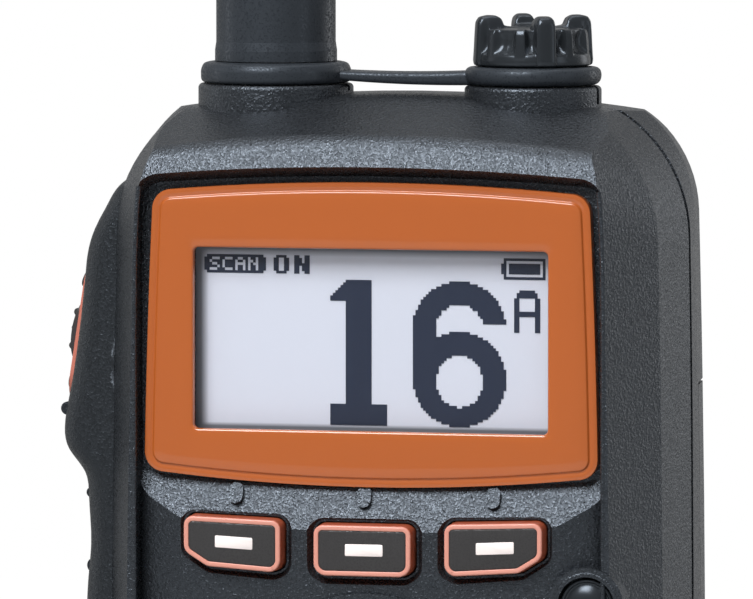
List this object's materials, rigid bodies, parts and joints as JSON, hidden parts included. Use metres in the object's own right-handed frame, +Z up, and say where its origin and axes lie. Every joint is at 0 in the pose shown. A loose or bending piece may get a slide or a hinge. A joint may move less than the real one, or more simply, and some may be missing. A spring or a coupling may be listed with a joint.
{
  "type": "handheld vhf marine radio",
  "caption": "Handheld marine VHF radio with framed display, soft keys, side talk keys, screw-on antenna, tethered jack cap, battery latch and sprung belt clip.",
  "frame": {"origin": "middle of the case's flat bottom, half-way across the case and at its mid depth", "axes": "+Z up along the antenna, display faces -Y, +X to the right of someone reading the display"},
  "size_m": [0.0725, 0.0478, 0.29],
  "materials": {
    "case_plastic": "moulded PC/ABS, fine spark-eroded texture",
    "grip_plastic": "moulded, coarser spark-eroded texture",
    "signal_orange": "moulded, translucent salmon orange",
    "bezel_orange": "gloss moulded orange",
    "clear_lens": "clear hard-coated lens",
    "lcd_glass": "pale LCD ground, dark segments",
    "key_rubber": "satin silicone rubber",
    "gloss_black": "polished black moulding",
    "antenna_rubber": "smooth matt elastomer",
    "seal_rubber": "matt",
    "clip_plastic": "moulded nylon",
    "circuit_board": "glass epoxy, green solder mask",
    "white_plastic": "satin white",
    "nickel_brass": "nickel-plated, turned",
    "copper_wire": "drawn wire",
    "gold_contact": "gold-plated",
    "screw_steel": "stainless steel",
    "speaker_paper": "woven speaker cloth and cone",
    "cell_can": "lithium-ion pouch and can, matt"
  },
  "bodies": {
    "radio": {"front_case": "case_plastic", "rear_case": "case_plastic", "case_seal": "seal_rubber", "case_screws": "screw_steel", "side_grip": "grip_plastic", "side_key_frame": "signal_orange", "display_bezel": "bezel_orange", "display_window": "clear_lens", "window_gasket": "seal_rubber", "lcd_panel": "lcd_glass", "backlight_panel": "white_plastic", "keypad_mat": "seal_rubber", "key_board": "circuit_board", "key_domes": "gold_contact", "main_board": "circuit_board", "shield_can": "screw_steel", "speaker": "screw_steel", "speaker_cone": "speaker_paper", "speaker_mesh": "speaker_paper", "microphone": "screw_steel", "side_switches": "circuit_board", "battery_case": "case_plastic", "battery_cover": "case_plastic", "battery_cells": "cell_can", "battery_board": "circuit_board", "charge_contacts": "gold_contact", "power_contacts": "gold_contact", "antenna_socket": "nickel_brass", "accessory_jack": "nickel_brass", "tether_strap": "antenna_rubber", "clip_bracket": "clip_plastic", "clip_pin": "screw_steel", "clip_screws": "screw_steel", "clip_spring": "screw_steel", "latch_pin": "screw_steel"},
    "soft_key_left": {"soft_key_left": "key_rubber"},
    "soft_key_middle": {"soft_key_middle": "key_rubber"},
    "soft_key_right": {"soft_key_right": "key_rubber"},
    "key_16": {"key_16": "key_rubber"},
    "key_clear": {"key_clear": "key_rubber"},
    "key_menu": {"key_menu": "key_rubber"},
    "key_scan": {"key_scan": "key_rubber"},
    "key_up": {"key_up": "key_rubber"},
    "key_down": {"key_down": "key_rubber"},
    "key_left": {"key_left": "key_rubber"},
    "key_right": {"key_right": "key_rubber"},
    "power_key": {"power_key": "gloss_black"},
    "ptt_button": {"ptt_button": "key_rubber"},
    "side_key_upper": {"side_key_upper": "key_rubber"},
    "side_key_lower": {"side_key_lower": "key_rubber"},
    "battery_latch": {"battery_latch": "case_plastic"},
    "belt_clip": {"belt_clip": "clip_plastic"},
    "antenna_riser": {"antenna_seal": "seal_rubber"},
    "antenna": {"antenna_jacket": "antenna_rubber", "antenna_connector": "nickel_brass", "antenna_core": "white_plastic", "antenna_winding": "copper_wire"},
    "cap_riser": {"cap_seal": "seal_rubber"},
    "jack_cap": {"jack_cap": "gloss_black"}
  },
  "joints": [
    {"name": "soft_key_left_press", "type": "slide", "parent": "radio", "child": "soft_key_left", "axis": [0, 1, 0], "range_m": [0, 0.0007], "stiffness_N_per_m": 600, "springref_m": -0.0005},
    {"name": "soft_key_middle_press", "type": "slide", "parent": "radio", "child": "soft_key_middle", "axis": [0, 1, 0], "range_m": [0, 0.0007], "stiffness_N_per_m": 600, "springref_m": -0.0005},
    {"name": "soft_key_right_press", "type": "slide", "parent": "radio", "child": "soft_key_right", "axis": [0, 1, 0], "range_m": [0, 0.0007], "stiffness_N_per_m": 600, "springref_m": -0.0005},
    {"name": "key_16_press", "type": "slide", "parent": "radio", "child": "key_16", "axis": [0, 1, 0], "range_m": [0, 0.0007], "stiffness_N_per_m": 600, "springref_m": -0.0005},
    {"name": "key_clear_press", "type": "slide", "parent": "radio", "child": "key_clear", "axis": [0, 1, 0], "range_m": [0, 0.0007], "stiffness_N_per_m": 600, "springref_m": -0.0005},
    {"name": "key_menu_press", "type": "slide", "parent": "radio", "child": "key_menu", "axis": [0, 1, 0], "range_m": [0, 0.0007], "stiffness_N_per_m": 600, "springref_m": -0.0005},
    {"name": "key_scan_press", "type": "slide", "parent": "radio", "child": "key_scan", "axis": [0, 1, 0], "range_m": [0, 0.0007], "stiffness_N_per_m": 600, "springref_m": -0.0005},
    {"name": "key_up_press", "type": "slide", "parent": "radio", "child": "key_up", "axis": [0, 1, 0], "range_m": [0, 0.0007], "stiffness_N_per_m": 600, "springref_m": -0.0005},
    {"name": "key_down_press", "type": "slide", "parent": "radio", "child": "key_down", "axis": [0, 1, 0], "range_m": [0, 0.0007], "stiffness_N_per_m": 600, "springref_m": -0.0005},
    {"name": "key_left_press", "type": "slide", "parent": "radio", "child": "key_left", "axis": [0, 1, 0], "range_m": [0, 0.0007], "stiffness_N_per_m": 600, "springref_m": -0.0005},
    {"name": "key_right_press", "type": "slide", "parent": "radio", "child": "key_right", "axis": [0, 1, 0], "range_m": [0, 0.0007], "stiffness_N_per_m": 600, "springref_m": -0.0005},
    {"name": "power_key_press", "type": "slide", "parent": "radio", "child": "power_key", "axis": [0, 1, 0], "range_m": [0, 0.0007], "stiffness_N_per_m": 600, "springref_m": -0.0005},
    {"name": "ptt_button_press", "type": "slide", "parent": "radio", "child": "ptt_button", "axis": [0.988, 0, -0.1547], "range_m": [0, 0.0005], "stiffness_N_per_m": 800, "springref_m": -0.0005},
    {"name": "side_key_upper_press", "type": "slide", "parent": "radio", "child": "side_key_upper", "axis": [0.988, 0, -0.1547], "range_m": [0, 0.0005], "stiffness_N_per_m": 800, "springref_m": -0.0005},
    {"name": "side_key_lower_press", "type": "slide", "parent": "radio", "child": "side_key_lower", "axis": [0.988, 0, -0.1547], "range_m": [0, 0.0005], "stiffness_N_per_m": 800, "springref_m": -0.0005},
    {"name": "battery_latch_swing", "type": "hinge", "parent": "radio", "child": "battery_latch", "pos_m": [0, 0.0162, 0.006], "axis": [-1, 0, 0], "range_deg": [0, 70]},
    {"name": "belt_clip_swing", "type": "hinge", "parent": "radio", "child": "belt_clip", "pos_m": [0, 0.0254, 0.119], "axis": [1, 0, 0], "range_deg": [0, 18], "stiffness_Nm_per_rad": 0.15, "springref_deg": -17.19},
    {"name": "antenna_lift", "type": "slide", "parent": "radio", "child": "antenna_riser", "axis": [0, 0, 1], "range_m": [0, 0.005]},
    {"name": "antenna_turn", "type": "hinge", "parent": "antenna_riser", "child": "antenna", "pos_m": [-0.01505, 0, 0.14], "axis": [0, 0, 1], "range_deg": [0, 1800]},
    {"name": "cap_lift", "type": "slide", "parent": "radio", "child": "cap_riser", "axis": [0, 0, 1], "range_m": [0, 0.0048]},
    {"name": "cap_turn", "type": "hinge", "parent": "cap_riser", "child": "jack_cap", "pos_m": [0.01505, 0, 0.14], "axis": [0, 0, 1], "range_deg": [0, 1080]}
  ],
  "couplings": [
    {"joint": "antenna_turn", "follows": "antenna_lift", "rad_per_m": 6283.2},
    {"joint": "cap_turn", "follows": "cap_lift", "rad_per_m": 3927}
  ]
}
